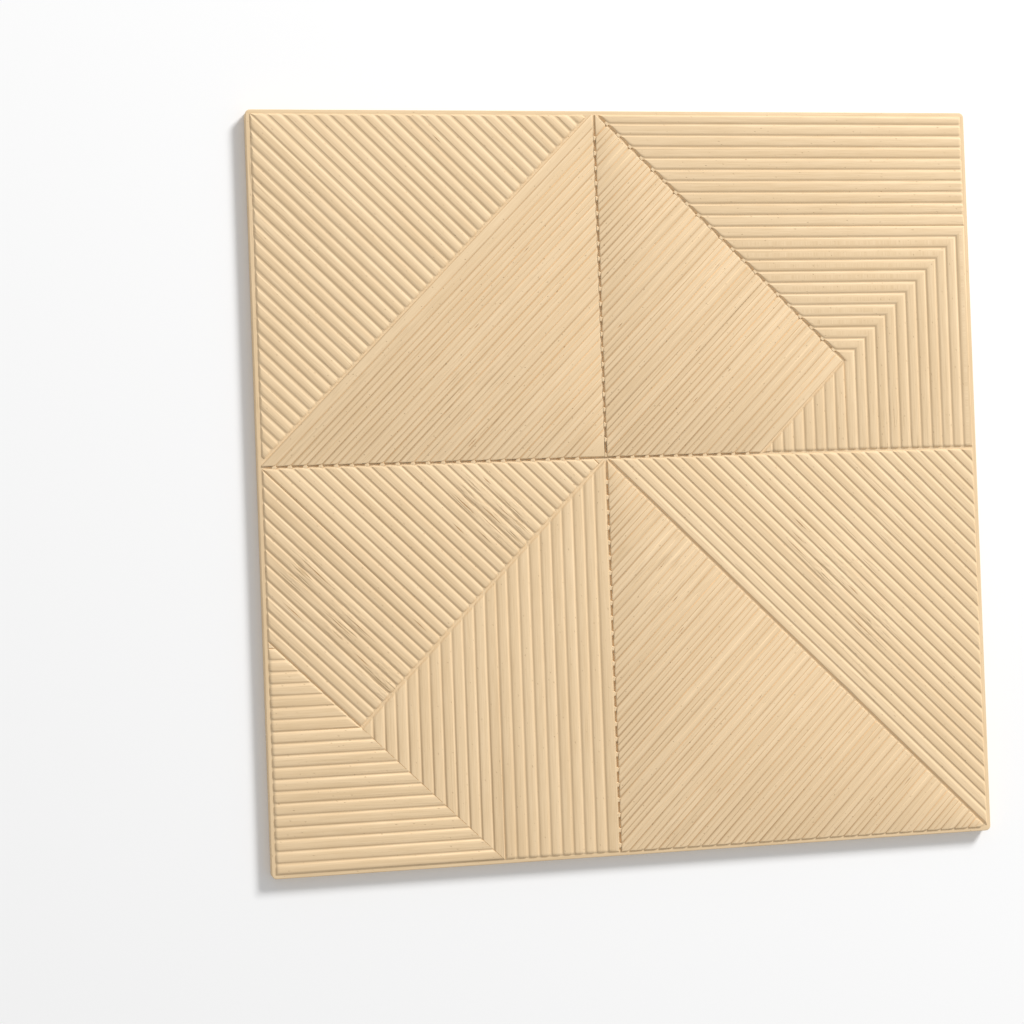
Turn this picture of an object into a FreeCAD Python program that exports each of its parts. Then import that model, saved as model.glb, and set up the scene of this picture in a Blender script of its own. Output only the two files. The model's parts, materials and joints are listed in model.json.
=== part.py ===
"""A square wall tile: a plain backed slab whose face is laid out in fields of straight reeds.

Millimetres. The back face lies on z = 0 with its centre at the origin, and the face looks up.
Two seams part the face into four quarters, and each quarter is parted into two or three fields.
"""

import os

import FreeCAD
import Part
import Sketcher

NODE = "wall_tile"

# Every size of the tile once: alias, value, meaning.
SIZES = (
    ("side", "300 mm", "edge of the square tile"),
    ("corner_round", "2 mm", "plan radius at the four corners"),
    ("base_thick", "5 mm", "back face to the valley floor between fields"),
    ("reed_rise", "1 mm", "valley floor to the crown of a broad reed"),
    ("fine_rise", "0.95 mm", "valley floor to the top of a finely lined field"),
    ("split", "140 mm", "top edge and left edge to the seams"),
    ("mitre_reach", "103 mm", "from a seam end to the mitre corner, along x and along y"),
    ("rim", "1.6 mm", "plain edge strip round the face"),
    ("pitch", "4.65 mm", "level and upright reeds, centre to centre"),
    ("slant_pitch", "4.3 mm", "slanting reeds, broad and flat, centre to centre"),
    ("groove_width", "3.4 mm", "width of a groove between broad reeds, crown to crown"),
    ("groove_flat", "0.4 mm", "floor width of a groove between broad reeds"),
    ("groove_deep", "0.56 mm", "depth of a groove between broad reeds"),
    ("cut_width", "0.7 mm", "width of a cut between flat reeds"),
    ("cut_deep", "0.6 mm", "depth of a cut between flat reeds"),
    ("line_width", "0.6 mm", "width of the line along the middle of a flat reed"),
    ("line_deep", "0.25 mm", "depth of the line along the middle of a flat reed"),
    ("plain_strip", "4.5 mm", "smooth strip beside the first cut of a finely lined field"),
    ("valley_half", "0.25 mm", "half width of the valley floor between two fields"),
    ("mitre_half", "0.12 mm", "half width of the hairline along the lower left mitre"),
    ("end_run", "0.8 mm", "slope length in plan at the end of a reed"),
    ("lip", "0.05 mm", "upright foot of a field above the valley floor"),
    ("root", "0.5 mm", "how far the fields reach down into the slab"),
    ("overshoot", "1 mm", "how far the cutting shapes pass what they cut"),
)

# Positions, heights and counts that follow from the sizes: alias, formula, meaning.
DERIVED = (
    ("half", "=side / 2", "centre to edge"),
    ("diag", "=sqrt(2)", "diagonal of a unit square"),
    ("seam_x", "=split - side / 2", "upright seam"),
    ("seam_y", "=side / 2 - split", "level seam"),
    ("root_z", "=base_thick - root", "underside of the fields inside the slab"),
    ("foot_z", "=base_thick + lip", "where the slope at a reed's end starts"),
    ("crown_z", "=base_thick + reed_rise", "top of the tile"),
    ("fine_z", "=base_thick + fine_rise", "top of the finely lined fields"),
    ("over_z", "=crown_z + overshoot", "top of the cutting shapes"),
    ("groove_z", "=crown_z - groove_deep", "floor of the grooves"),
    ("groove_half", "=groove_width / 2", "half width of a groove at the crown"),
    ("shoulder", "=groove_half - groove_flat / 2", "plan width of a reed's shoulder"),
    ("shoulder_round", "=(shoulder ^ 2 + groove_deep ^ 2) / (2 * groove_deep)", "radius of a shoulder"),
    ("run_over", "=end_run * (over_z - foot_z) / (crown_z - foot_z)", "slope length at the cutters' top"),
    ("mitre_x", "=seam_x + mitre_reach", "mitre corner of the upper right quarter, x"),
    ("mitre_y", "=half - mitre_reach", "mitre corner of the upper right quarter, y"),
    ("turned_x", "=seam_x - mitre_reach", "mitre corner of the lower left quarter, x"),
    ("turned_y", "=seam_y - mitre_reach", "mitre corner of the lower left quarter, y"),
    ("reeds_inner", "=floor((mitre_reach - rim) / pitch)", "grooves from a mitre corner to the seam end"),
    ("reeds_low", "=floor((mitre_y - seam_y) / pitch)", "grooves from a mitre corner to the other seam"),
    ("reeds_edge", "=floor((half - rim - mitre_x) / pitch - 1 / 2)", "grooves from the mitre to the edge"),
    ("reeds_ul", "=floor(split * diag / slant_pitch) - 1", "grooves of the upper left quarter"),
    ("cuts_ul", "=floor((split / diag - plain_strip) / slant_pitch)", "cuts, upper left quarter"),
    ("cuts_ur", "=floor((mitre_reach * diag - plain_strip) / slant_pitch)", "cuts, upper right quarter"),
    ("reeds_ll", "=floor(mitre_reach * diag / slant_pitch)", "slanting grooves of the lower left quarter"),
    ("reeds_lr", "=floor((half - seam_x) / diag / slant_pitch) - 1", "grooves of the lower right quarter"),
    ("cuts_lr", "=floor((side + seam_y - seam_x) / diag / slant_pitch) - 1", "cuts, lower right quarter"),
)

ALIASES = {alias for alias, value, meaning in SIZES + DERIVED}

# Directions in which reeds and boundaries run.
LEVEL = FreeCAD.Vector(1, 0, 0)
UPRIGHT = FreeCAD.Vector(0, 1, 0)
RISING = FreeCAD.Vector(1, 1, 0)
FALLING = FreeCAD.Vector(1, -1, 0)

# Stands a plan sketch up: its x axis then runs along y, and its y axis along z.
STAND_UP = FreeCAD.Rotation(FreeCAD.Vector(1, 1, 1), 120)

doc = FreeCAD.newDocument("tile")
sheet = doc.addObject("Spreadsheet::Sheet", "sizes")
for cell_row, (cell_alias, cell_value, cell_meaning) in enumerate(SIZES + DERIVED, start=1):
    sheet.set(f"A{cell_row}", cell_alias)
    sheet.set(f"B{cell_row}", cell_value)
    sheet.set(f"C{cell_row}", cell_meaning)
    sheet.setAlias(f"B{cell_row}", cell_alias)
doc.recompute()


def named(formula):
    """Point the aliases of a formula at the spreadsheet."""
    parts = []
    word = ""
    for mark in formula + " ":
        if mark.isalnum() or mark == "_":
            word += mark
            continue
        parts.append(f"sizes.{word}" if word in ALIASES else word)
        parts.append(mark)
        word = ""
    return "".join(parts).strip()


def number(formula):
    """The present value of a formula."""
    value = sheet.evalExpression(named(formula))
    return float(getattr(value, "Value", value))


def draw(sketch, corners, arcs=()):
    """Draw a closed outline in a sketch, every corner held by two formulas.

    An arc is given as the index of the side it replaces, its radius and its centre.
    """
    spots = [FreeCAD.Vector(number(x), number(y), 0) for x, y in corners]
    curved = {side: (radius, centre) for side, radius, centre in arcs}
    count = len(spots)
    first = [1] * count
    for side in range(count):
        start = spots[side]
        end = spots[(side + 1) % count]
        if side not in curved:
            sketch.addGeometry(Part.LineSegment(start, end), False)
            continue
        radius, centre = curved[side]
        middle = FreeCAD.Vector(number(centre[0]), number(centre[1]), 0)
        outward = ((start + end) * 0.5 - middle).normalize()
        sketch.addGeometry(Part.Arc(start, middle + outward * number(radius), end), False)
        if sketch.getPoint(side, 2).distanceToPoint(start) < sketch.getPoint(side, 1).distanceToPoint(start):
            first[side] = 2
    for side in range(count):
        after = (side + 1) % count
        last = 3 - first[side]
        sketch.addConstraint(Sketcher.Constraint("Coincident", side, last, after, first[after]))
    for side, corner in enumerate(corners):
        for kind, formula in zip(("DistanceX", "DistanceY"), corner):
            limit = Sketcher.Constraint(kind, -1, 1, side, first[side], number(formula))
            sketch.setExpression(f"Constraints[{sketch.addConstraint(limit)}]", named(formula))
    for side, (radius, centre) in curved.items():
        limit = Sketcher.Constraint("Radius", side, number(radius))
        sketch.setExpression(f"Constraints[{sketch.addConstraint(limit)}]", named(radius))
    doc.recompute()


def extrude(name, sketch, forward, backward="0 mm"):
    """Draw a sketch out along its normal."""
    solid = doc.addObject("Part::Extrusion", name)
    solid.Base = sketch
    solid.DirMode = "Normal"
    solid.Solid = True
    solid.setExpression("LengthFwd", named(forward))
    solid.setExpression("LengthRev", named(backward))
    doc.recompute()
    return solid


def join(kind, name, **links):
    """Combine whole shapes."""
    feature = doc.addObject(kind, name)
    for link, value in links.items():
        setattr(feature, link, value)
    doc.recompute()
    return feature


def origin_part(body, role):
    """One plane or axis of a body's own origin."""
    return next(feature for feature in body.Origin.OriginFeatures if feature.Role == role)


def bar(name, way, across, start, end, half_width, run):
    """A cutter along a boundary: upright at the foot, then leaning outward on both sides.

    The boundary runs one of the ways, at the distance across from the tile's centre. The cutter
    lies on it from start to end, both measured along it from the point nearest the centre.
    """
    sketch = doc.addObject("Sketcher::SketchObject", f"{name}_section")
    turn = FreeCAD.Rotation(LEVEL, way)
    sketch.Placement = FreeCAD.Placement(FreeCAD.Vector(0, 0, 0), turn.multiply(STAND_UP))
    low = f"({across}) - ({half_width})"
    high = f"({across}) + ({half_width})"
    draw(sketch, (
        (low, "root_z - overshoot"),
        (high, "root_z - overshoot"),
        (high, "foot_z"),
        (f"{high} + ({run})", "over_z"),
        (f"{low} - ({run})", "over_z"),
        (low, "foot_z"),
    ))
    return extrude(name, sketch, end, f"-({start})")


def channel(body, name, way, corners, arcs=()):
    """Cut one straight channel through a body, running one of the ways."""
    sketch = body.newObject("Sketcher::SketchObject", f"{name}_section")
    sketch.AttachmentSupport = (origin_part(body, "YZ_Plane"), [""])
    sketch.MapMode = "FlatFace"
    turn = FreeCAD.Rotation(FreeCAD.Vector(0, 0, 1), FreeCAD.Vector(way.y, 0, way.x))
    sketch.AttachmentOffset = FreeCAD.Placement(FreeCAD.Vector(0, 0, 0), turn)
    draw(sketch, corners, arcs)
    pocket = body.newObject("PartDesign::Pocket", name)
    pocket.Profile = sketch
    pocket.SideType = "Symmetric"
    pocket.setExpression("Length", named("4 * side"))
    doc.recompute()
    return pocket


def repeat(body, name, pocket, count, spacing):
    """Repeat a channel sideways at a spacing."""
    pattern = body.newObject("PartDesign::LinearPattern", name)
    pattern.Originals = [pocket]
    pattern.Direction = (pocket.Profile[0], ["H_Axis"])
    pattern.Mode = "Spacing"
    pattern.setExpression("Offset", named(spacing))
    pattern.setExpression("Occurrences", named(count))
    body.Tip = pattern
    doc.recompute()


def groove(at):
    """Section of the groove between two broad reeds: a narrow floor and two round shoulders."""
    corners = (
        (f"{at} - groove_half", "over_z"),
        (f"{at} - groove_half", "crown_z"),
        (f"{at} - groove_flat / 2", "groove_z"),
        (f"{at} + groove_flat / 2", "groove_z"),
        (f"{at} + groove_half", "crown_z"),
        (f"{at} + groove_half", "over_z"),
    )
    arcs = (
        (1, "shoulder_round", (f"{at} - groove_half", "crown_z - shoulder_round")),
        (3, "shoulder_round", (f"{at} + groove_half", "crown_z - shoulder_round")),
    )
    return corners, arcs


def notch(at, width, depth):
    """Section of a cut or a line in a finely lined field."""
    return (
        (f"{at} - {width} / 2", "over_z"),
        (f"{at} - {width} / 2", "fine_z"),
        (f"{at}", f"fine_z - {depth}"),
        (f"{at} + {width} / 2", "fine_z"),
        (f"{at} + {width} / 2", "over_z"),
    )


# The slab.
slab = doc.addObject("PartDesign::Body", "slab")
slab_plan = slab.newObject("Sketcher::SketchObject", "slab_plan")
slab_plan.AttachmentSupport = (origin_part(slab, "XY_Plane"), [""])
slab_plan.MapMode = "FlatFace"
draw(slab_plan, (("-half", "-half"), ("half", "-half"), ("half", "half"), ("-half", "half")))
slab_pad = slab.newObject("PartDesign::Pad", "slab_pad")
slab_pad.Profile = slab_plan
slab_pad.setExpression("Length", named("base_thick"))
doc.recompute()
uprights = []
for place, edge in enumerate(slab_pad.Shape.Edges, start=1):
    if abs(edge.tangentAt(edge.FirstParameter).z) > 0.5:
        uprights.append(f"Edge{place}")
slab_corners = slab.newObject("PartDesign::Fillet", "slab_corners")
slab_corners.Base = (slab_pad, uprights)
slab_corners.setExpression("Radius", named("corner_round"))
doc.recompute()

# Corner points of the layout.
TOP_LEFT = ("-half", "half")
TOP_RIGHT = ("half", "half")
LOW_LEFT = ("-half", "-half")
LOW_RIGHT = ("half", "-half")
SEAM_TOP = ("seam_x", "half")
SEAM_LEFT = ("-half", "seam_y")
SEAM_LOW = ("seam_x", "-half")
SEAM_RIGHT = ("half", "seam_y")
CROSS = ("seam_x", "seam_y")
MITRE = ("mitre_x", "mitre_y")
MITRE_EDGE = ("half", "mitre_y + half - mitre_x")
MITRE_SEAM = ("mitre_x - mitre_y + seam_y", "seam_y")
TURNED = ("turned_x", "turned_y")
TURNED_LEFT = ("-half", "turned_y + turned_x + half")
TURNED_LOW = ("turned_x + turned_y + half", "-half")

# Valleys along the edges, the seams and the boundaries, and a hairline along one mitre.
valleys = join("Part::MultiFuse", "valleys", Shapes=[
    bar("edge_top", LEVEL, "half", "-side", "side", "rim", "run_over"),
    bar("edge_low", LEVEL, "-half", "-side", "side", "rim", "run_over"),
    bar("edge_left", UPRIGHT, "half", "-side", "side", "rim", "run_over"),
    bar("edge_right", UPRIGHT, "-half", "-side", "side", "rim", "run_over"),
    bar("seam_level", LEVEL, "seam_y", "-side", "side", "valley_half", "run_over"),
    bar("seam_upright", UPRIGHT, "-seam_x", "-side", "side", "valley_half", "run_over"),
    bar("part_ul", RISING, "(half - seam_x) / diag", "-side", "side", "valley_half", "run_over"),
    bar(
        "part_ur", FALLING, "(seam_x + half) / diag",
        "(seam_x - half) / diag - overshoot", "(mitre_x - mitre_y) / diag", "valley_half", "run_over",
    ),
    bar(
        "part_ur_low", RISING, "(mitre_y - mitre_x) / diag",
        "(mitre_x - mitre_y + 2 * seam_y) / diag - overshoot", "(mitre_x + mitre_y) / diag",
        "valley_half", "run_over",
    ),
    bar(
        "part_ll", RISING, "(seam_y - seam_x) / diag",
        "(turned_x + turned_y) / diag", "(seam_x + seam_y) / diag + overshoot", "valley_half", "run_over",
    ),
    bar("mitre_ll", FALLING, "(turned_x + turned_y) / diag", "-side", "side", "mitre_half", "0 mm"),
    bar(
        "part_lr", FALLING, "(seam_x + seam_y) / diag",
        "(seam_x - seam_y) / diag - overshoot", "side", "valley_half", "run_over",
    ),
])


def field(name, corners, top):
    """A field before its channels are cut: a flat block with sloping sides."""
    sketch = doc.addObject("Sketcher::SketchObject", f"{name}_plan")
    draw(sketch, corners)
    sketch.setExpression("Placement.Base.z", named("root_z"))
    block = extrude(f"{name}_block", sketch, f"{top} - root_z")
    sloped = join("Part::Cut", f"{name}_sloped", Base=block, Tool=valleys)
    body = doc.addObject("PartDesign::Body", name)
    body.BaseFeature = sloped
    doc.recompute()
    return body


def reeded(name, way, corners, first, count, spacing):
    """A field of broad round reeds."""
    body = field(name, corners, "crown_z")
    pocket = channel(body, f"{name}_groove", way, *groove(first))
    repeat(body, f"{name}_grooves", pocket, count, spacing)
    return body


def lined(name, way, corners, first, count):
    """A field of flat reeds with narrow cuts between them and a line along the middle of each."""
    body = field(name, corners, "fine_z")
    cut = channel(body, f"{name}_cut", way, notch(first, "cut_width", "cut_deep"))
    repeat(body, f"{name}_cuts", cut, count, "slant_pitch")
    middle = f"{first} + slant_pitch / 2"
    line = channel(body, f"{name}_line", way, notch(middle, "line_width", "line_deep"))
    repeat(body, f"{name}_lines", line, f"{count} - 1", "slant_pitch")
    return body


# Upper left quarter: falling reeds above its diagonal, rising lines below it.
ul_reeds = reeded(
    "ul_reeds", FALLING, (TOP_LEFT, SEAM_LEFT, SEAM_TOP),
    "-slant_pitch * (reeds_ul - 1) / 2", "reeds_ul", "slant_pitch",
)
ul_lines = lined(
    "ul_lines", RISING, (CROSS, SEAM_TOP, SEAM_LEFT),
    "(half - seam_x) / diag - plain_strip - slant_pitch * (cuts_ul - 1)", "cuts_ul",
)

# Upper right quarter: rising lines by the seam, level and upright reeds mitred at the edge.
ur_lines = lined(
    "ur_lines", RISING, (SEAM_TOP, CROSS, MITRE_SEAM, MITRE),
    "(mitre_y - mitre_x) / diag + plain_strip", "cuts_ur",
)
ur_level = reeded(
    "ur_level", LEVEL, (SEAM_TOP, MITRE, MITRE_EDGE, TOP_RIGHT),
    "mitre_y + pitch", "reeds_inner", "pitch",
)
ur_upright = reeded(
    "ur_upright", UPRIGHT, (MITRE_SEAM, SEAM_RIGHT, MITRE_EDGE),
    "-mitre_x - pitch * reeds_edge", "reeds_edge + 1 + reeds_low", "pitch",
)

# Lower left quarter: the same plan turned a quarter round, with falling reeds in place of the lines.
ll_reeds = reeded(
    "ll_reeds", FALLING, (SEAM_LEFT, TURNED_LEFT, TURNED, CROSS),
    "(turned_x + turned_y) / diag + slant_pitch", "reeds_ll", "slant_pitch",
)
ll_upright = reeded(
    "ll_upright", UPRIGHT, (CROSS, TURNED, TURNED_LOW, SEAM_LOW),
    "-turned_x - pitch * reeds_inner", "reeds_inner", "pitch",
)
ll_level = reeded(
    "ll_level", LEVEL, (TURNED_LEFT, LOW_LEFT, TURNED_LOW),
    "turned_y - pitch * reeds_edge", "reeds_edge + 1 + reeds_low", "pitch",
)

# Lower right quarter: reeds along the diagonal and lines square to it.
lr_reeds = reeded(
    "lr_reeds", FALLING, (CROSS, LOW_RIGHT, SEAM_RIGHT),
    "(seam_x + seam_y) / diag + slant_pitch", "reeds_lr", "slant_pitch",
)
lr_lines = lined(
    "lr_lines", RISING, (CROSS, SEAM_LOW, LOW_RIGHT), "slant_pitch - side / diag", "cuts_lr",
)

fields = [
    ul_reeds, ul_lines, ur_lines, ur_level, ur_upright, ll_reeds, ll_upright, ll_level, lr_reeds, lr_lines,
]
tile = join("Part::MultiFuse", NODE, Shapes=[slab] + fields)

for item in doc.Objects:
    if "Invalid" in item.State or "Error" in item.State:
        raise RuntimeError(f"{item.Name} did not compute: {item.State}")
    shape = getattr(item, "Shape", None)
    if shape is not None and (shape.isNull() or not shape.isValid()):
        raise RuntimeError(f"{item.Name} has no sound shape")
if len(tile.Shape.Solids) != 1:
    raise RuntimeError(f"the tile has {len(tile.Shape.Solids)} solids")

os.makedirs("parts", exist_ok=True)
tile.Shape.exportStep(f"parts/{NODE}.step")
print(NODE, "volume", round(tile.Shape.Volume, 1), "faces", len(tile.Shape.Faces))
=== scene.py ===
"""A moulded foam wall tile with a reeded face, lying on its back on a pale floor."""

import json
import math
import random

import bmesh
import bpy
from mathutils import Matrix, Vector

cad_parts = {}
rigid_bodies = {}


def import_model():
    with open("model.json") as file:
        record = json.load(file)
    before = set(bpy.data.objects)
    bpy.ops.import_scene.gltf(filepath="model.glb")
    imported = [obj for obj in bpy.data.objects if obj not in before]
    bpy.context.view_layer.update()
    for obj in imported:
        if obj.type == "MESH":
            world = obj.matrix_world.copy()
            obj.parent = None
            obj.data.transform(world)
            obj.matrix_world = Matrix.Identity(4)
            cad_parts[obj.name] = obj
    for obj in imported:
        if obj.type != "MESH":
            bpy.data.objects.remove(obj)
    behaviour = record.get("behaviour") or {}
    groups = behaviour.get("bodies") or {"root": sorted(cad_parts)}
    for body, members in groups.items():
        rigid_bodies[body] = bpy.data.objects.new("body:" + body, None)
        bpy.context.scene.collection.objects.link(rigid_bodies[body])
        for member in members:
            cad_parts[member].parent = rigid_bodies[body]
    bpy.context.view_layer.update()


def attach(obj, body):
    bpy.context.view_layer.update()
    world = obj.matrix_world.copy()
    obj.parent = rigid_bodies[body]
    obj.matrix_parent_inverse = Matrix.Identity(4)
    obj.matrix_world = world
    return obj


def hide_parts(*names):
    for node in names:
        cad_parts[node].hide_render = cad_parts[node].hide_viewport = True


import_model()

# Sizes of the tile in millimetres. It is modelled in millimetres and brought to metres at the end.
MM = 0.001
SIDE = 300.0
HALF = SIDE / 2
RIM = 1.6
CORNER_ROUND = 2.0
VALLEY_LEVEL = 5.2
CROWN_LEVEL = 6.0
LINED_LEVEL = 5.95
SEAM_X = -10.0
SEAM_Y = 10.0
VALLEY = 0.35
GROOVE_LIFT = 0.28
LINE_LIFT = 0.18
CORNER_GROOVE = 1.8
HAIRLINE = 0.12
PITCH = 4.65
SLANT_PITCH = 4.3
PLAIN_STRIP = 4.5
MITRE = (93.0, 47.0)
TURNED = (-113.0, -93.0)
ROOT2 = math.sqrt(2)

# Rounding of the reed ends, where a groove opens into a valley.
REED_TIP = 1.3
LINE_TIP = 0.9

# Low bridges that break up the seams at the mouths of the grooves.
BRIDGE_TOP = 0.7
BRIDGE_RUN = 1.25
BRIDGE_RISE = 0.5
DASH_DROP = 0.22
SEAM_PLAY = 0.25

# Insets that raise a reed from its foot to its crown: run inward, rise.
ROUND_SWELL = ((0.30, 0.33), (0.30, 0.21), (0.35, 0.14), (0.40, 0.08), (0.45, 0.04))
BROAD_SWELL = ((0.28, 0.36), (0.26, 0.21), (0.26, 0.12), (0.30, 0.07), (0.35, 0.04))
FLAT_FOOT = ((0.08, 0.26), (0.10, 0.19))
FLAT_SWELL = ((0.12, 0.16), (0.13, 0.09), (0.20, 0.05))

# The faint line along the lower left mitre, and the fine strips that lie a little lower than the rest.
SCORE_HALF = 0.16
SCORE_DEPTH = 0.22
SETTLED_SHARE = 0.35
SETTLED_DROP = 0.1

# Rounding of the outer edge at the face and at the back, and the angle under which the skin is smooth.
FACE_EDGE_ROUND = 0.35
BACK_EDGE_ROUND = 0.2
SMOOTH_ANGLE = 38

# Limits of the modelling, in millimetres, square millimetres or shares.
TOUCH = 1e-4
TIGHT = 0.001
ON_LINE = 0.002
SAME_LEVEL = 0.004
SLACK = 0.01
INSIDE = 0.05
PAST_CORNER = 0.1
CLEAR = 0.3
WELL_CLEAR = 1
SHARPEST = 0.01
SHORT_SIDE = 1.1
CLOSING_SHARE = 1.1
ROOM_SHARE = 1.02
MOUTH_ROOM = 2.3
CLOSINGS = 5
NOTCH_AREA = 2.4

# The upward part of the normal of a level face, at least, and of a steep face, at most.
LEVEL_FACE = 0.999
STEEP_FACE = 0.5

# Distances of the slanting boundaries from the centre, along the two diagonals.
UL_RISE = (HALF - SEAM_X) / ROOT2
UR_RISE = (MITRE[1] - MITRE[0]) / ROOT2
UR_FALL = (SEAM_X + HALF) / ROOT2
LL_RISE = (SEAM_Y - SEAM_X) / ROOT2
LL_FALL = (TURNED[0] + TURNED[1]) / ROOT2
LR_FALL = (SEAM_X + SEAM_Y) / ROOT2

# The four ways that reeds run, each with the direction across it and the spacing of its reeds.
ACROSS = {
    "level": Vector((0, 1, 0)),
    "upright": Vector((1, 0, 0)),
    "rising": Vector((-1, 1, 0)) / ROOT2,
    "falling": Vector((1, 1, 0)) / ROOT2,
}
SPACING = {"level": PITCH, "upright": PITCH, "rising": SLANT_PITCH, "falling": SLANT_PITCH}

# Bounds that several fields share: the way of the boundary, the side to be on and its distance across.
LEFT = ("upright", -1, SEAM_X - VALLEY)
RIGHT = ("upright", 1, SEAM_X + VALLEY)
ABOVE = ("level", 1, SEAM_Y + VALLEY)
BELOW = ("level", -1, SEAM_Y - VALLEY)
UR_BAND = (RIGHT, ABOVE, ("rising", 1, UR_RISE))
LL_BAND = (LEFT, BELOW, ("falling", 1, LL_FALL))

# Every field: the way its reeds run, its bounds, its first groove and how many there are.
REEDED = {
    "ul_reeds": ("falling", (LEFT, ABOVE, ("rising", 1, UL_RISE + VALLEY)), -22 * SLANT_PITCH, 45),
    "ur_level": ("level", UR_BAND + (("falling", 1, UR_FALL + VALLEY),), MITRE[1] + PITCH, 21),
    "ur_upright": ("upright", (RIGHT, ABOVE, ("rising", -1, UR_RISE)), MITRE[0] - 7 * PITCH, 19),
    "ll_reeds": (
        "falling",
        (LEFT, BELOW, ("falling", 1, LL_FALL + 2 * HAIRLINE), ("rising", 1, LL_RISE + VALLEY)),
        LL_FALL + SLANT_PITCH,
        33,
    ),
    "ll_upright": ("upright", LL_BAND + (("rising", -1, LL_RISE - VALLEY),), TURNED[0] + PITCH, 21),
    "ll_level": ("level", (LEFT, BELOW, ("falling", -1, LL_FALL)), TURNED[1] - 11 * PITCH, 19),
    "lr_reeds": ("falling", (RIGHT, BELOW, ("falling", 1, LR_FALL + VALLEY)), LR_FALL + SLANT_PITCH, 25),
}
LINED = {
    "ul_lines": (
        "rising",
        (LEFT, ABOVE, ("rising", -1, UL_RISE - VALLEY)),
        UL_RISE - PLAIN_STRIP - 20 * SLANT_PITCH,
        21,
    ),
    "ur_lines": (
        "rising",
        (RIGHT, ABOVE, ("rising", 1, UR_RISE + 2 * VALLEY), ("falling", -1, UR_FALL - VALLEY)),
        UR_RISE + PLAIN_STRIP,
        32,
    ),
    "lr_lines": (
        "rising",
        (RIGHT, BELOW, ("falling", -1, LR_FALL - VALLEY)),
        SLANT_PITCH - SIDE / ROOT2,
        51,
    ),
}
FIELDS = {**REEDED, **LINED}

# Seams that are bridged: the way of the seam, its distance across and the field whose grooves open there.
BRIDGED = (
    ("upright", SEAM_X, "ur_lines"),
    ("upright", SEAM_X, "lr_lines"),
    ("level", SEAM_Y, "ul_lines"),
    ("level", SEAM_Y, "ur_lines"),
    ("falling", UR_FALL, "ur_level"),
)

# Checks, which are pointed slits in the crowns: how they vary, and how much crown they need.
CHECKED_LEVEL = 5.8
CHECK_WANDER = 0.25
CHECK_WIDTHS = (0.26, 0.5)
CHECK_DEPTHS = (0.3, 0.5)
CHECK_WALL = 0.3
CHECK_CLEAR = 3

# Patches with checks: the field, the reach along and across its reeds, the lengths and how many.
CHECKS = (
    ("ll_reeds", (-90, -14), (-130, -114), (8, 24), 22),
    ("ll_reeds", (-62, -12), (-66, -34), (4, 13), 22),
    ("ll_reeds", (-30, -10), (-100, -88), (4, 9), 4),
    ("lr_reeds", (62, 112), (24, 40), (5, 18), 14),
    ("ul_reeds", (-170, -110), (-60, 60), (2, 6), 10),
    ("ur_lines", (30, 110), (-20, 70), (2, 8), 16),
    ("ul_lines", (-90, 60), (20, 100), (2, 8), 14),
    ("lr_lines", (-110, 0), (-190, -30), (2, 9), 24),
)

# Rough patches of the wood look: their centre on the tile and their reach, in millimetres.
ROUGH = (
    (-134, -30, 11),
    (-119, -52, 13),
    (-104, -74, 12),
    (-52, -14, 15),
    (-64, -4, 12),
    (84, -38, 14),
    (104, -62, 10),
)

# Marks of the wood look: how often they repeat in a metre along, across and through, their detail and
# their roughness.
FIBRE = ((70.0, 1700.0, 1.0), 3.0, 0.6)
STREAK = ((8.0, 300.0, 1.0), 2.0, 0.5)
CLOUD = ((14.0, 14.0, 14.0), 2.0, 0.5)
TICK = ((75.0, 1300.0, 1.0), 1.0, 0.4)
PIT = ((700.0, 1500.0, 1.0), 0.0, 0.5)
FOAM_GRAIN = ((2600.0, 2600.0, 2600.0), 2.0, 0.6)
# This noise only sets how strongly the painted shade in the bottoms of the fine lines shows along them.
LINE_SHADE_FADE = ((16.0, 420.0, 1.0), 2.0, 0.5)
KNOTS = ((150.0, 420.0, 1.0), 3.0, 0.6)

# Shares of the marks in the tone of the foam, and how strongly ticks and pits darken it.
FIBRE_SHARE = 0.5
STREAK_SHARE = 0.3
CLOUD_SHARE = 0.2
REED_SHARE = 0.08
TICK_SHARE = 0.5
PIT_SHARE = 0.35

# Strength of each relief in the finish, and its depth in metres.
GRAIN_RELIEF = (0.25, 0.00008)
FIBRE_RELIEF = (0.4, 0.00014)
MARK_RELIEF = (0.7, 0.0002)
KNOT_RELIEF = (0.7, 0.0008)

# Colours of the foam, of its marks, and of the painted shade in the bottoms of the fine lines.
DEEP_BEIGE = (0.725, 0.525, 0.305, 1)
PALE_BEIGE = (0.855, 0.648, 0.408, 1)
TICK_BROWN = (0.50, 0.33, 0.16)
PIT_BROWN = (0.54, 0.36, 0.18)
LINE_SHADE_BROWN = (0.50, 0.375, 0.235)

# The shade of a place without a reed, and the shift of the wood look from field to field, in metres.
MIDDLE_SHADE = 0.5
FIELD_SHIFT = 0.41

# The floor, the light and the camera.
FLOOR_SIZE = 12
FLOOR_WHITE = (0.95, 0.95, 0.95, 1)
KEY_PLACE = (1.80, 2.10, 1.75)
KEY_SIZE = 0.8
KEY_POWER = 103.0
ROOM_LIGHT = 0.52
CAMERA_SENSOR = 36.0
CAMERA_LENS = 77.34
CAMERA_PLACE = (-0.235685, -0.019067, 0.862069)
CAMERA_TURN = (0.017705, -0.213583, -0.037243)


def within(point, bounds):
    """Whether a point is inside the rim and inside all the bounds of a field."""
    if max(abs(point.x), abs(point.y)) > HALF - RIM:
        return False
    return all(turn * ACROSS[way].dot(point) > turn * limit for way, turn, limit in bounds)


def in_fields(point, fields):
    """Whether a point is in one of some fields."""
    return any(within(point, bounds) for way, bounds, first, count in fields.values())


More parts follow.
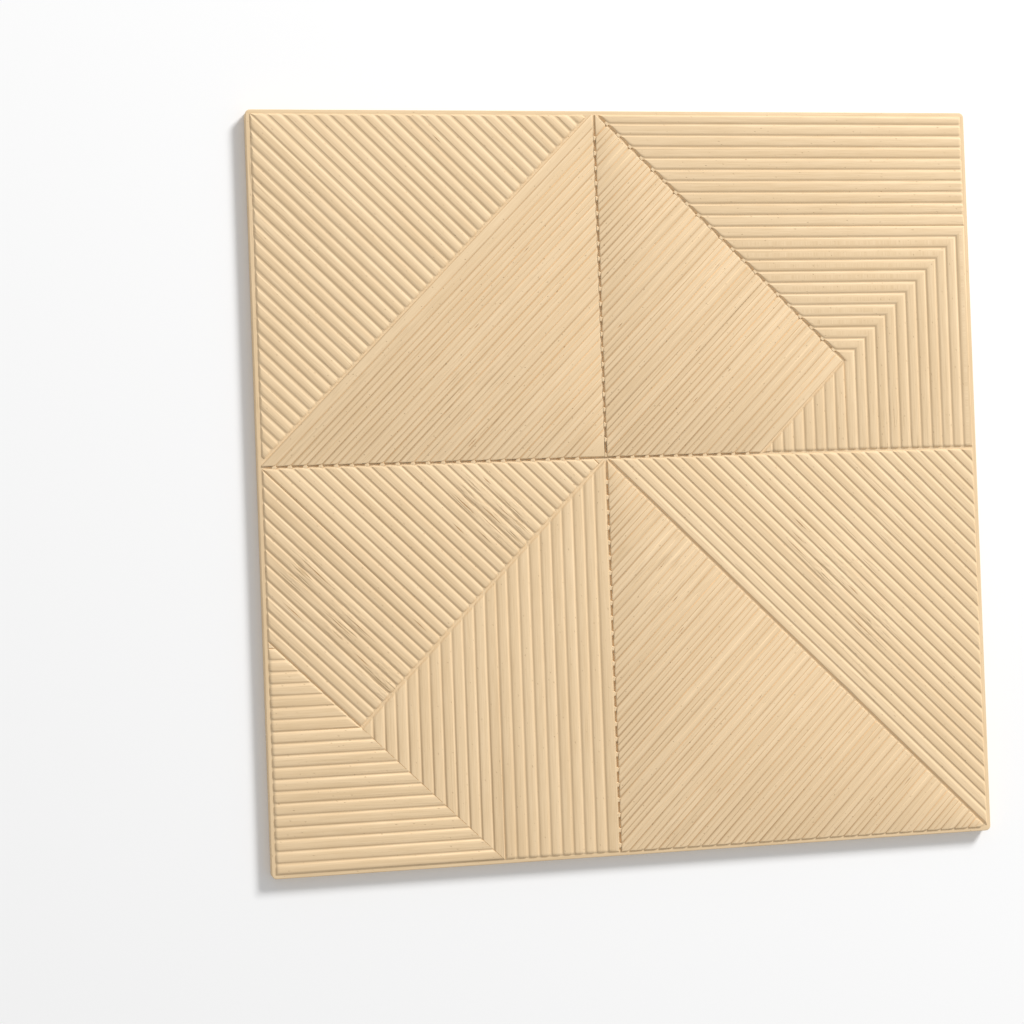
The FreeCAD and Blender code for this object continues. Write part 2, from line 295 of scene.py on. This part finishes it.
def heart(face):
    """A point just inside the longest side of a face, so inside it even where the face turns a corner."""
    side = max(face.loops, key=lambda loop: loop.edge.calc_length())
    start = side.vert.co
    end = side.link_loop_next.vert.co
    inward = face.normal.cross(end - start).normalized()
    return (start + end) / 2 + inward * INSIDE


def pick(test):
    """Select the faces of the tile in hand that pass a test, and nothing else. Gives their number."""
    bpy.ops.mesh.select_mode(type="FACE")
    bpy.ops.mesh.select_all(action="DESELECT")
    mesh = bpy.context.edit_object.data
    form = bmesh.from_edit_mesh(mesh)
    form.normal_update()
    found = 0
    for face in form.faces:
        if test(face):
            face.select_set(True)
            found += 1
    bmesh.update_edit_mesh(mesh, loop_triangles=False, destructive=False)
    return found


def pick_points(test):
    """Select the points of the tile in hand that pass a test, and nothing else."""
    bpy.ops.mesh.select_mode(type="VERT")
    bpy.ops.mesh.select_all(action="DESELECT")
    mesh = bpy.context.edit_object.data
    form = bmesh.from_edit_mesh(mesh)
    for point in form.verts:
        if test(point):
            point.select_set(True)
    form.select_flush_mode()
    bmesh.update_edit_mesh(mesh, loop_triangles=False, destructive=False)


def pick_edges(test):
    """Select the edges of the tile in hand that pass a test, and nothing else."""
    bpy.ops.mesh.select_mode(type="EDGE")
    bpy.ops.mesh.select_all(action="DESELECT")
    mesh = bpy.context.edit_object.data
    form = bmesh.from_edit_mesh(mesh)
    for edge in form.edges:
        if test(edge):
            edge.select_set(True)
    form.select_flush_mode()
    bmesh.update_edit_mesh(mesh, loop_triangles=False, destructive=False)


def cut(across, at):
    """Cut the selected faces along a line at a distance in one direction."""
    bpy.ops.mesh.bisect(plane_co=across * at, plane_no=across, threshold=TOUCH)


def cut_within(bounds, way, places):
    """Cut the faces inside some bounds along one line after another."""
    for at in places:
        pick(lambda face: within(heart(face), bounds))
        cut(ACROSS[way], at)


def shrinkage(face, run):
    """Every side of a face with the length that it would lose in an inset by a run."""
    loops = list(face.loops)
    reach = []
    for loop in loops:
        length = run / math.tan(max(loop.calc_angle(), SHARPEST) / 2)
        reach.append(length if loop.is_convex else -length)
    following = reach[1:] + reach[:1]
    return [(loop.edge, near + far) for loop, near, far in zip(loops, reach, following)]


def used_up(test, run):
    """The short sides that an inset by a run would use up, on the faces that pass a test."""
    form = bmesh.from_edit_mesh(bpy.context.edit_object.data)
    form.normal_update()
    spent = set()
    for face in form.faces:
        if len(face.verts) > 3 and test(face):
            for side, loss in shrinkage(face, run):
                if side.calc_length() < min(SHORT_SIDE, CLOSING_SHARE * loss):
                    spent.add(side.index)
    return spent


def swell(fields, level, steps):
    """Raise the reeds of some fields from a level by a run of insets.

    A short side that an inset would use up is closed first, and a reed stops where it gets too narrow.
    """
    for run, rise in steps:
        test = in_some(fields, level)

        def room(face):
            if not test(face):
                return False
            return all(side.calc_length() > ROOM_SHARE * loss for side, loss in shrinkage(face, run))

        for closing in range(CLOSINGS):
            spent = used_up(test, run)
            if not spent:
                break
            pick_edges(lambda edge: edge.index in spent)
            bpy.ops.mesh.merge(type="COLLAPSE")
        pick(room)
        bpy.ops.mesh.inset(thickness=run, depth=rise, use_individual=True, use_even_offset=True)
        level += rise


def lay_out():
    """Part the face along the rim, the seams, the boundaries and the grooves."""
    for way in ("level", "upright"):
        for at in (-(HALF - RIM), HALF - RIM):
            bpy.ops.mesh.select_all(action="SELECT")
            cut(ACROSS[way], at)
    cut_within((), "upright", (SEAM_X - VALLEY, SEAM_X + VALLEY))
    cut_within((), "level", (SEAM_Y - VALLEY, SEAM_Y + VALLEY))
    cut_within((LEFT, ABOVE), "rising", (UL_RISE - VALLEY, UL_RISE + VALLEY))
    cut_within((RIGHT, ABOVE), "rising", (UR_RISE,))
    cut_within(UR_BAND, "falling", (UR_FALL - VALLEY, UR_FALL + VALLEY))
    cut_within(UR_BAND + (("falling", -1, UR_FALL - VALLEY),), "rising", (UR_RISE + 2 * VALLEY,))
    cut_within((LEFT, BELOW), "falling", (LL_FALL,))
    cut_within(LL_BAND, "rising", (LL_RISE - VALLEY, LL_RISE + VALLEY))
    cut_within(LL_BAND + (("rising", 1, LL_RISE + VALLEY),), "falling", (LL_FALL + 2 * HAIRLINE,))
    cut_within((RIGHT, BELOW), "falling", (LR_FALL - VALLEY, LR_FALL + VALLEY))
    for way, bounds, first, count in FIELDS.values():
        cut_within(bounds, way, [first + SPACING[way] * step for step in range(count)])


def on_mitre(edge):
    """Whether an edge lies on one of the two mitres, where reeds turn a corner."""
    ends = [vert.co for vert in edge.verts]
    if all(abs(ACROSS["rising"].dot(end) - UR_RISE) < SLACK for end in ends):
        return all(MITRE[0] + PAST_CORNER < end.x < HALF - RIM + SLACK for end in ends)
    if all(abs(ACROSS["falling"].dot(end) - LL_FALL) < SLACK for end in ends):
        return all(end.x > TURNED[0] + PAST_CORNER and end.y > RIM - HALF - SLACK for end in ends)
    return False


def round_mouths(fields, size, segments):
    """Round the reed ends of some fields: a notch where each groove opens into a valley."""
    form = bmesh.from_edit_mesh(bpy.context.edit_object.data)
    form.normal_update()
    mouths = set()
    for edge in form.edges:
        if len(edge.link_faces) != 2:
            continue
        if not all(in_fields(heart(face), fields) for face in edge.link_faces):
            continue
        for vert in edge.verts:
            roomy = all(side.calc_length() > MOUTH_ROOM * size for side in vert.link_edges)
            if len(vert.link_edges) == 3 and roomy:
                mouths.add(vert.index)
    pick_points(lambda point: point.index in mouths)
    bpy.ops.mesh.bevel(offset=size, segments=segments, profile=0.5, affect="VERTICES", clamp_overlap=False)


def in_some(fields, level):
    """A test for the level faces of some fields at a level, leaving out the notches at the reed ends."""
    def test(face):
        if face.normal.z < LEVEL_FACE or face.calc_area() < NOTCH_AREA:
            return False
        centre = heart(face)
        if abs(centre.z - level) > SAME_LEVEL:
            return False
        return in_fields(centre, fields)
    return test


def score_mitre():
    """A shallow line along the lower left mitre, across the reeds that turn a corner there."""
    fall = ACROSS["falling"]

    def straddles(face):
        sides = [fall.dot(vert.co) - LL_FALL for vert in face.verts]
        return min(sides) < -INSIDE and max(sides) > INSIDE and within(heart(face), (LEFT, BELOW))

    def on_line(point):
        if abs(fall.dot(point.co) - LL_FALL) > ON_LINE or point.co.z < VALLEY_LEVEL - SLACK:
            return False
        return point.co.x > TURNED[0] + CLEAR and point.co.y > RIM - HALF + CLEAR

    pick(straddles)
    cut(fall, LL_FALL)
    pick_edges(lambda edge: all(on_line(vert) for vert in edge.verts))
    bpy.ops.mesh.bevel(offset=SCORE_HALF, segments=2, profile=0.5, affect="EDGES", clamp_overlap=False)
    pick_points(on_line)
    bpy.ops.transform.translate(value=(0, 0, -SCORE_DEPTH))


def crossing(way, at, other, offset):
    """The point where a line across one way meets a line across another."""
    first = ACROSS[way]
    second = ACROSS[other]
    turn = first.x * second.y - first.y * second.x
    x = (at * second.y - offset * first.y) / turn
    y = (offset * first.x - at * second.x) / turn
    return Vector((x, y, 0))


def bridge_seams():
    """Low bridges over the seams at the mouths of the grooves, between which a seam shows as dashes."""
    bridges = []
    for seam, at, name in BRIDGED:
        way, bounds, first, count = FIELDS[name]
        groove = Vector((ACROSS[way].y, -ACROSS[way].x, 0))
        for step in range(count):
            point = crossing(seam, at, way, first + SPACING[way] * step)
            if within(point + groove, bounds) or within(point - groove, bounds):
                bridges.append((ACROSS[seam], at, point))

    for across, at, point in bridges:
        along = Vector((across.y, -across.x, 0))
        middle = along.dot(point)
        for shift in (-BRIDGE_RUN, -BRIDGE_TOP, BRIDGE_TOP, BRIDGE_RUN):
            place = middle + shift

            def floor_here(face):
                if face.normal.z < LEVEL_FACE or abs(face.verts[0].co.z - VALLEY_LEVEL) > SAME_LEVEL:
                    return False
                low, high = spread(face, across)
                start, end = spread(face, along)
                beside = low > at - VALLEY - SEAM_PLAY and high < at + VALLEY + SEAM_PLAY
                return beside and start < place - SLACK and end > place + SLACK

            pick(floor_here)
            cut(along, place)

    def aside(point):
        if abs(point.co.z - VALLEY_LEVEL) > SAME_LEVEL:
            return None
        for across, at, middle in bridges:
            if abs(across.dot(point.co) - at) < VALLEY + SEAM_PLAY:
                away = abs(across.y * (point.co.x - middle.x) - across.x * (point.co.y - middle.y))
                if away < BRIDGE_RUN + INSIDE:
                    return away
        return None

    pick_points(lambda point: (aside(point) or 0.0) > BRIDGE_TOP + INSIDE)
    bpy.ops.transform.translate(value=(0, 0, -DASH_DROP))
    pick_points(lambda point: (aside(point) or BRIDGE_RUN) < BRIDGE_TOP + INSIDE)
    bpy.ops.transform.translate(value=(0, 0, BRIDGE_RISE))


def lift_grooves(fields, lift):
    """Lift the bottoms of the grooves in some fields above the valleys that they open into."""
    def in_groove(point):
        place = point.co
        if abs(place.z - VALLEY_LEVEL) > SAME_LEVEL:
            return False
        if max(abs(place.x), abs(place.y)) > HALF - RIM - CLEAR:
            return False
        if "ur_level" in fields and abs(ACROSS["rising"].dot(place) - UR_RISE) < SLACK:
            return place.x > MITRE[0] + WELL_CLEAR
        if "ll_level" in fields and abs(ACROSS["falling"].dot(place) - LL_FALL) < SLACK:
            return TURNED[0] + WELL_CLEAR < place.x < SEAM_X
        for way, bounds, first, count in fields.values():
            if all(turn * ACROSS[edge].dot(place) > turn * limit + CLEAR for edge, turn, limit in bounds):
                return True
        return False

    pick_points(in_groove)
    bpy.ops.transform.translate(value=(0, 0, lift))


def part_corner_groove():
    """Part the groove that runs into the upper left corner of the rim, so that it can rise from there."""
    rise = ACROSS["rising"]
    place = ROOT2 * (HALF - RIM) - CORNER_GROOVE

    def beyond(face):
        return spread(face, rise)[1] > place and within(face.calc_center_median(), REEDED["ul_reeds"][1])

    pick(beyond)
    cut(rise, place)


def settle(fields, level, share, drop):
    """Let some of the fine strips lie a little lower than others, so that their lines are not all alike."""
    draw = random.Random(11)
    test = in_some(fields, level)
    pick(lambda face: test(face) and draw.random() < share)
    bpy.ops.mesh.select_more()
    bpy.ops.mesh.select_more()
    bpy.ops.transform.translate(value=(0, 0, -drop))


def spread(face, direction):
    """How far a face reaches in a direction."""
    reach = [direction.dot(vert.co) for vert in face.verts]
    return min(reach), max(reach)


def open_check(way, run, place, length, width, depth):
    """A check in the wood look: a pointed slit along a reed, where the crown of one reed has room for it."""
    across = ACROSS[way]
    along = Vector((across.y, -across.x, 0))

    def crown(face):
        return face.normal.z > LEVEL_FACE and face.verts[0].co.z > CHECKED_LEVEL

    def around(face, beside, beyond):
        if not crown(face):
            return False
        low, high = spread(face, across)
        start, end = spread(face, along)
        return low < place - beside and high > place + beside and start < run - beyond and end > run + beyond

    def slit(face):
        if not crown(face):
            return False
        low, high = spread(face, across)
        start, end = spread(face, along)
        beside = low > place - width / 2 - SLACK and high < place + width / 2 + SLACK
        return beside and start > run - length / 2 - SLACK and end < run + length / 2 + SLACK

    def at_tip(edge):
        if any(abs(across.dot(vert.co) - place) > width / 2 + SLACK for vert in edge.verts):
            return False
        return all(abs(abs(along.dot(vert.co) - run) - length / 2) < TIGHT for vert in edge.verts)

    if pick(lambda face: around(face, width, length / 2 + CHECK_CLEAR)) != 1:
        return
    for at in (place - width / 2, place + width / 2):
        pick(lambda face: around(face, SLACK, SLACK))
        cut(across, at)
    for at in (run - length / 2, run + length / 2, run):
        pick(lambda face: around(face, SLACK, SLACK))
        cut(along, at)
    pick_edges(at_tip)
    bpy.ops.mesh.merge(type="COLLAPSE")
    if pick(slit):
        bpy.ops.mesh.inset(thickness=CHECK_WALL * width, depth=-depth, use_even_offset=True)


def open_checks():
    """The checks, in the patches where the wood look is rough and scattered over the rest."""
    draw = random.Random(5)
    for name, runs, places, lengths, count in CHECKS:
        way, bounds, first, reeds = FIELDS[name]
        spacing = SPACING[way] / 2 if name in LINED else SPACING[way]
        for step in range(count):
            number = math.floor((draw.uniform(*places) - first) / spacing)
            place = first + spacing * (number + 0.5) + draw.uniform(-CHECK_WANDER, CHECK_WANDER)
            run = draw.uniform(*runs)
            length = draw.uniform(*lengths)
            width = draw.uniform(*CHECK_WIDTHS)
            open_check(way, run, place, length, width, draw.uniform(*CHECK_DEPTHS))


def on_outline(edge, level):
    """Whether an edge belongs to the outer outline of the tile at a level."""
    ends = [vert.co for vert in edge.verts]
    if any(abs(end.z - level) > TIGHT for end in ends):
        return False
    if any(max(abs(end.x), abs(end.y)) < HALF - RIM / 2 for end in ends):
        return False
    steep = [abs(face.normal.z) < STEEP_FACE for face in edge.link_faces]
    return any(steep) and not all(steep)


def model_tile():
    """The whole tile as one closed skin."""
    bpy.ops.object.select_all(action="DESELECT")
    bpy.ops.mesh.primitive_plane_add(size=SIDE, location=(0, 0, VALLEY_LEVEL))
    tile = bpy.context.object
    tile.name = "reeded_tile"
    bpy.ops.object.transform_apply(location=True, rotation=True, scale=True)
    bpy.ops.object.mode_set(mode="EDIT")
    bpy.ops.mesh.select_all(action="SELECT")
    bpy.ops.mesh.bevel(offset=CORNER_ROUND, segments=6, profile=0.5, affect="VERTICES")
    lay_out()

    pick_edges(on_mitre)
    bpy.ops.mesh.dissolve_edges(use_verts=False)

    round_mouths(REEDED, REED_TIP, 3)
    round_mouths(LINED, LINE_TIP, 2)
    swell({"ul_reeds": REEDED["ul_reeds"]}, VALLEY_LEVEL, ROUND_SWELL)
    others = {name: field for name, field in REEDED.items() if name != "ul_reeds"}
    swell(others, VALLEY_LEVEL, BROAD_SWELL)

    flat_level = VALLEY_LEVEL + sum(rise for run, rise in FLAT_FOOT)
    swell(LINED, VALLEY_LEVEL, FLAT_FOOT)
    for name, (way, bounds, first, count) in LINED.items():
        for step in range(count - 1):
            pick(in_some({name: LINED[name]}, flat_level))
            cut(ACROSS[way], first + SPACING[way] * (step + 0.5))
    swell(LINED, flat_level, FLAT_SWELL)

    part_corner_groove()
    lift_grooves(REEDED, GROOVE_LIFT)
    lift_grooves(LINED, LINE_LIFT)
    score_mitre()
    bridge_seams()
    settle(LINED, LINED_LEVEL, SETTLED_SHARE, SETTLED_DROP)
    open_checks()

    pick_edges(lambda edge: edge.is_boundary)
    bpy.ops.mesh.extrude_region_move(TRANSFORM_OT_translate={"value": (0, 0, -VALLEY_LEVEL)})
    bpy.ops.mesh.edge_face_add()
    pick_edges(lambda edge: on_outline(edge, VALLEY_LEVEL))
    bpy.ops.mesh.bevel(offset=FACE_EDGE_ROUND, segments=3, profile=0.5, affect="EDGES")
    pick_edges(lambda edge: on_outline(edge, 0.0))
    bpy.ops.mesh.bevel(offset=BACK_EDGE_ROUND, segments=2, profile=0.5, affect="EDGES")

    bpy.ops.mesh.select_all(action="SELECT")
    bpy.ops.mesh.remove_doubles(threshold=TOUCH)
    bpy.ops.mesh.normals_make_consistent(inside=False)
    bpy.ops.object.mode_set(mode="OBJECT")
    tile.scale = (MM, MM, MM)
    bpy.ops.object.transform_apply(location=True, rotation=True, scale=True)
    bpy.ops.object.shade_smooth_by_angle(angle=math.radians(SMOOTH_ANGLE))
    return tile


def run_map(tile):
    """A map along and across the reeds of each field, in metres, and a slightly different tone for each."""
    layer = tile.data.uv_layers.new(name="reed_run")
    tone = tile.data.attributes.new(name="reed_tone", type="FLOAT", domain="FACE")
    lined = tile.data.attributes.new(name="fine_lined", type="FLOAT", domain="FACE")
    for face in tile.data.polygons:
        centre = face.center / MM
        way = "upright" if abs(centre.x) > abs(centre.y) else "level"
        shift = 0.0
        shade = MIDDLE_SHADE
        for place, (name, (run, bounds, first, count)) in enumerate(FIELDS.items()):
            if within(centre, bounds):
                way = run
                shift = FIELD_SHIFT * (place + 1)
                number = math.floor((ACROSS[run].dot(centre) - first) / SPACING[run])
                shade = random.Random(100 * place + number).random()
                lined.data[face.index].value = 1.0 if name in LINED else 0.0
        across = ACROSS[way]
        along = Vector((across.y, -across.x, 0))
        if shift == 0.0 and abs(face.normal.z) < STEEP_FACE:
            across = Vector((0, 0, 1))
            along = Vector((0, 1, 0)) if abs(face.normal.x) > abs(face.normal.y) else Vector((1, 0, 0))
        tone.data[face.index].value = shade
        for loop in face.loop_indices:
            point = tile.data.vertices[tile.data.loops[loop].vertex_index].co
            layer.data[loop].uv = (along.dot(point) + shift, across.dot(point))


def node(tree, kind, **values):
    """A node with its properties set."""
    made = tree.nodes.new(kind)
    for name, value in values.items():
        setattr(made, name, value)
    return made


def noise(tree, place, stretch, detail, rough):
    """A noise over a place that is stretched by a factor along each axis. Gives its output."""
    scaled = node(tree, "ShaderNodeVectorMath", operation="MULTIPLY")
    scaled.inputs[1].default_value = stretch
    tree.links.new(place, scaled.inputs[0])
    made = node(tree, "ShaderNodeTexNoise")
    made.inputs["Scale"].default_value = 1.0
    made.inputs["Detail"].default_value = detail
    made.inputs["Roughness"].default_value = rough
    tree.links.new(scaled.outputs[0], made.inputs["Vector"])
    return made.outputs["Fac"]


def span(tree, value, low, high, start=0.0, end=1.0):
    """A value brought from one range to another, and kept inside it."""
    made = node(tree, "ShaderNodeMapRange", clamp=True)
    made.inputs["From Min"].default_value = low
    made.inputs["From Max"].default_value = high
    made.inputs["To Min"].default_value = start
    made.inputs["To Max"].default_value = end
    tree.links.new(value, made.inputs["Value"])
    return made.outputs["Result"]


def combine(tree, operation, first, second):
    """Two values combined, where the second may be a number."""
    made = node(tree, "ShaderNodeMath", operation=operation)
    tree.links.new(first, made.inputs[0])
    if isinstance(second, float):
        made.inputs[1].default_value = second
    else:
        tree.links.new(second, made.inputs[1])
    return made.outputs["Value"]


def blend(tree, share, first, second):
    """One colour over another by a share. The second is given as a number triple."""
    made = node(tree, "ShaderNodeMix", data_type="RGBA")
    tree.links.new(share, made.inputs["Factor"])
    tree.links.new(first, made.inputs["A"])
    made.inputs["B"].default_value = (*second, 1)
    return made.outputs["Result"]


def relief(tree, height, strength, depth, under=None):
    """A bump of a depth in metres, over another one if there is one."""
    made = node(tree, "ShaderNodeBump")
    made.inputs["Strength"].default_value = strength
    made.inputs["Distance"].default_value = depth
    tree.links.new(height, made.inputs["Height"])
    if under is not None:
        tree.links.new(under, made.inputs["Normal"])
    return made.outputs["Normal"]


def foam_finish():
    """Matt moulded foam with a pale wood look: fibres along each reed, fine checks, pits and a foam grain."""
    material = bpy.data.materials.new("moulded_foam")
    material.use_nodes = True
    tree = material.node_tree
    shader = tree.nodes["Principled BSDF"]
    shader.inputs["Specular IOR Level"].default_value = 0.3

    run = node(tree, "ShaderNodeUVMap", uv_map="reed_run").outputs["UV"]
    body = node(tree, "ShaderNodeTexCoord").outputs["Object"]
    height = node(tree, "ShaderNodeSeparateXYZ")
    tree.links.new(body, height.inputs["Vector"])
    face_side = span(tree, height.outputs["Z"], 0.0046, 0.0052)

    fibre = noise(tree, run, *FIBRE)
    streak = noise(tree, run, *STREAK)
    cloud = noise(tree, body, *CLOUD)
    tick = noise(tree, run, *TICK)
    pit = noise(tree, run, *PIT)
    grain = noise(tree, body, *FOAM_GRAIN)

    patches = []
    for x, y, reach in ROUGH:
        away = node(tree, "ShaderNodeVectorMath", operation="DISTANCE")
        away.inputs[1].default_value = (x * MM, y * MM, CROWN_LEVEL * MM)
        tree.links.new(body, away.inputs[0])
        patches.append(span(tree, away.outputs["Value"], 0.4 * reach * MM, reach * MM, 1.0, 0.0))
    rough = patches[0]
    for patch in patches[1:]:
        rough = combine(tree, "MAXIMUM", rough, patch)
    rough = combine(tree, "MULTIPLY", rough, face_side)
    calm = combine(tree, "MULTIPLY", span(tree, cloud, 0.5, 0.66, 0.0, 0.5), face_side)
    ticks = combine(tree, "MULTIPLY", span(tree, tick, 0.60, 0.70), combine(tree, "MAXIMUM", rough, calm))
    pits = combine(tree, "MULTIPLY", span(tree, pit, 0.79, 0.85), face_side)

    reed = node(tree, "ShaderNodeAttribute", attribute_name="reed_tone").outputs["Fac"]
    fine = combine(tree, "MULTIPLY", fibre, FIBRE_SHARE)
    mixed = combine(tree, "ADD", fine, combine(tree, "MULTIPLY", streak, STREAK_SHARE))
    mixed = combine(tree, "ADD", mixed, combine(tree, "MULTIPLY", cloud, CLOUD_SHARE))
    mixed = combine(tree, "ADD", mixed, combine(tree, "MULTIPLY", reed, REED_SHARE))
    tone = node(tree, "ShaderNodeValToRGB")
    tone.color_ramp.elements[0].position = 0.38
    tone.color_ramp.elements[0].color = DEEP_BEIGE
    tone.color_ramp.elements[1].position = 0.70
    tone.color_ramp.elements[1].color = PALE_BEIGE
    tree.links.new(mixed, tone.inputs["Fac"])
    colour = blend(tree, combine(tree, "MULTIPLY", ticks, TICK_SHARE), tone.outputs["Color"], TICK_BROWN)
    colour = blend(tree, combine(tree, "MULTIPLY", pits, PIT_SHARE), colour, PIT_BROWN)
    # Painted shade: the bottoms of the fine lines are darkened towards brown, the more the deeper they lie,
    # fading in and out along the lines.
    lined = node(tree, "ShaderNodeAttribute", attribute_name="fine_lined").outputs["Fac"]
    painted_line_shade = combine(tree, "MULTIPLY", span(tree, height.outputs["Z"], 0.0055, 0.00586, 0.45, 0.0), lined)
    shade_fading = span(tree, noise(tree, run, *LINE_SHADE_FADE), 0.38, 0.62, 0.1, 1.0)
    painted_line_shade = combine(tree, "MULTIPLY", painted_line_shade, shade_fading)
    colour = blend(tree, painted_line_shade, colour, LINE_SHADE_BROWN)
    tree.links.new(colour, shader.inputs["Base Color"])
    tree.links.new(span(tree, fibre, 0.3, 0.7, 0.68, 0.56), shader.inputs["Roughness"])

    normal = relief(tree, grain, *GRAIN_RELIEF)
    fibres = combine(tree, "MULTIPLY", fibre, face_side)
    normal = relief(tree, fibres, *FIBRE_RELIEF, normal)
    marks = combine(tree, "MULTIPLY", combine(tree, "MAXIMUM", ticks, pits), -1.0)
    normal = relief(tree, marks, *MARK_RELIEF, normal)
    knotty = combine(tree, "MULTIPLY", noise(tree, run, *KNOTS), rough)
    normal = relief(tree, knotty, *KNOT_RELIEF, normal)
    tree.links.new(normal, shader.inputs["Normal"])
    return material


def pale_floor():
    """A plain pale floor under the tile."""
    bpy.ops.object.select_all(action="DESELECT")
    bpy.ops.mesh.primitive_plane_add(size=FLOOR_SIZE)
    floor = bpy.context.object
    floor.name = "floor"
    paint = bpy.data.materials.new("pale_floor")
    paint.use_nodes = True
    shader = paint.node_tree.nodes["Principled BSDF"]
    shader.inputs["Base Color"].default_value = FLOOR_WHITE
    shader.inputs["Roughness"].default_value = 0.9
    shader.inputs["Specular IOR Level"].default_value = 0.1
    floor.data.materials.append(paint)


def lamp(name, place, size, power):
    """A soft lamp that looks at the tile."""
    data = bpy.data.lights.new(name, "AREA")
    data.size = size
    data.energy = power
    holder = bpy.data.objects.new(name, data)
    holder.location = place
    holder.rotation_euler = (-Vector(place)).to_track_quat("-Z", "Y").to_euler()
    bpy.context.scene.collection.objects.link(holder)


tile = model_tile()
run_map(tile)
tile.data.materials.append(foam_finish())
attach(tile, "root")
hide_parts("wall_tile")

pale_floor()
lamp("key", KEY_PLACE, KEY_SIZE, KEY_POWER)
world = bpy.data.worlds.new("studio")
world.use_nodes = True
world.node_tree.nodes["Background"].inputs["Color"].default_value = (1, 1, 1, 1)
world.node_tree.nodes["Background"].inputs["Strength"].default_value = ROOM_LIGHT
bpy.context.scene.world = world
bpy.context.scene.view_settings.view_transform = "Standard"

camera_data = bpy.data.cameras.new("camera")
camera_data.sensor_width = CAMERA_SENSOR
camera_data.lens = CAMERA_LENS
camera = bpy.data.objects.new("camera", camera_data)
camera.location = CAMERA_PLACE
camera.rotation_euler = CAMERA_TURN
bpy.context.scene.collection.objects.link(camera)
bpy.context.scene.camera = camera
